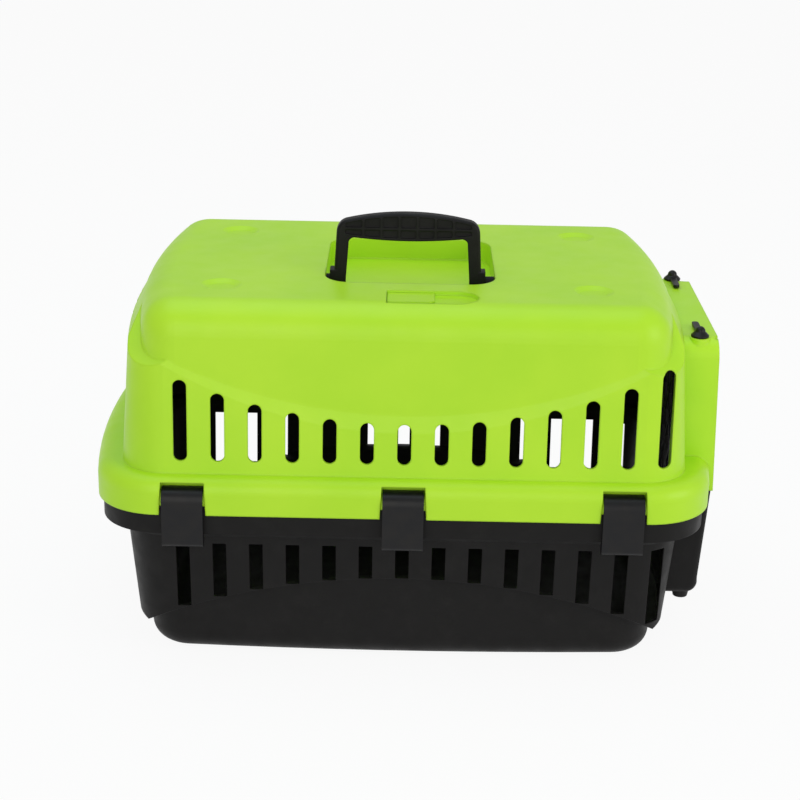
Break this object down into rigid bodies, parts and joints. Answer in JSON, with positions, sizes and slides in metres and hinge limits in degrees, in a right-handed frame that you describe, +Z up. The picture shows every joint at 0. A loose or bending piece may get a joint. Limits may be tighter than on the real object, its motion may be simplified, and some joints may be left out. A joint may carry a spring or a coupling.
{
  "type": "pet carrier",
  "caption": "Small plastic pet carrier: slotted upper shell on a slotted tray, side clips, lattice door in a projecting surround, folding carrying handle and a sliding top hatch.",
  "frame": {"origin": "on the ground under the middle of the carrier's bounding box", "axes": "+X toward the door end, +Z up, -Y the near side that carries the sliding hatch and the door's hinge"},
  "size_m": [0.4709, 0.314, 0.327],
  "materials": {
    "lime_plastic": "satin",
    "black_plastic": "satin",
    "clip_plastic": "satin"
  },
  "bodies": {
    "carrier": {"top_shell": "lime_plastic", "bottom_tray": "black_plastic"},
    "door": {"door_grille": "black_plastic"},
    "near_pin": {"door_pin_near": "clip_plastic"},
    "far_pin": {"door_pin_far": "clip_plastic"},
    "handle": {"carry_handle": "black_plastic"},
    "hatch": {"hatch_slide": "lime_plastic"},
    "near_rear_clip": {"clip_near_rear": "clip_plastic"},
    "near_middle_clip": {"clip_near_middle": "clip_plastic"},
    "near_front_clip": {"clip_near_front": "clip_plastic"},
    "far_rear_clip": {"clip_far_rear": "clip_plastic"},
    "far_middle_clip": {"clip_far_middle": "clip_plastic"},
    "far_front_clip": {"clip_far_front": "clip_plastic"}
  },
  "joints": [
    {"name": "door_hinge", "type": "hinge", "parent": "carrier", "child": "door", "pos_m": [0.2185, -0.077, 0.143], "axis": [0, 0, -1], "range_deg": [0, 90]},
    {"name": "near_pin_turn", "type": "hinge", "parent": "carrier", "child": "near_pin", "pos_m": [0.2185, -0.077, 0.143], "axis": [0, 0, -1], "range_deg": [0, 90]},
    {"name": "far_pin_turn", "type": "hinge", "parent": "door", "child": "far_pin", "pos_m": [0.2185, 0.077, 0.143], "axis": [0, 0, 1], "range_deg": [0, 90]},
    {"name": "handle_fold", "type": "hinge", "parent": "carrier", "child": "handle", "pos_m": [0.0005, -0.04, 0.274], "axis": [-1, 0, 0], "range_deg": [0, 90]},
    {"name": "hatch_slide", "type": "slide", "parent": "carrier", "child": "hatch", "axis": [1, 0, 0], "range_m": [0, 0.0165]},
    {"name": "near_rear_clip_hinge", "type": "hinge", "parent": "carrier", "child": "near_rear_clip", "pos_m": [-0.1595, -0.1525, 0.1062], "axis": [1, 0, 0], "range_deg": [0, 100]},
    {"name": "near_middle_clip_hinge", "type": "hinge", "parent": "carrier", "child": "near_middle_clip", "pos_m": [0.0005, -0.1525, 0.1062], "axis": [1, 0, 0], "range_deg": [0, 100]},
    {"name": "near_front_clip_hinge", "type": "hinge", "parent": "carrier", "child": "near_front_clip", "pos_m": [0.1605, -0.1525, 0.1062], "axis": [1, 0, 0], "range_deg": [0, 100]},
    {"name": "far_rear_clip_hinge", "type": "hinge", "parent": "carrier", "child": "far_rear_clip", "pos_m": [-0.1595, 0.1525, 0.1062], "axis": [-1, 0, 0], "range_deg": [0, 100]},
    {"name": "far_middle_clip_hinge", "type": "hinge", "parent": "carrier", "child": "far_middle_clip", "pos_m": [0.0005, 0.1525, 0.1062], "axis": [-1, 0, 0], "range_deg": [0, 100]},
    {"name": "far_front_clip_hinge", "type": "hinge", "parent": "carrier", "child": "far_front_clip", "pos_m": [0.1605, 0.1525, 0.1062], "axis": [-1, 0, 0], "range_deg": [0, 100]}
  ]
}
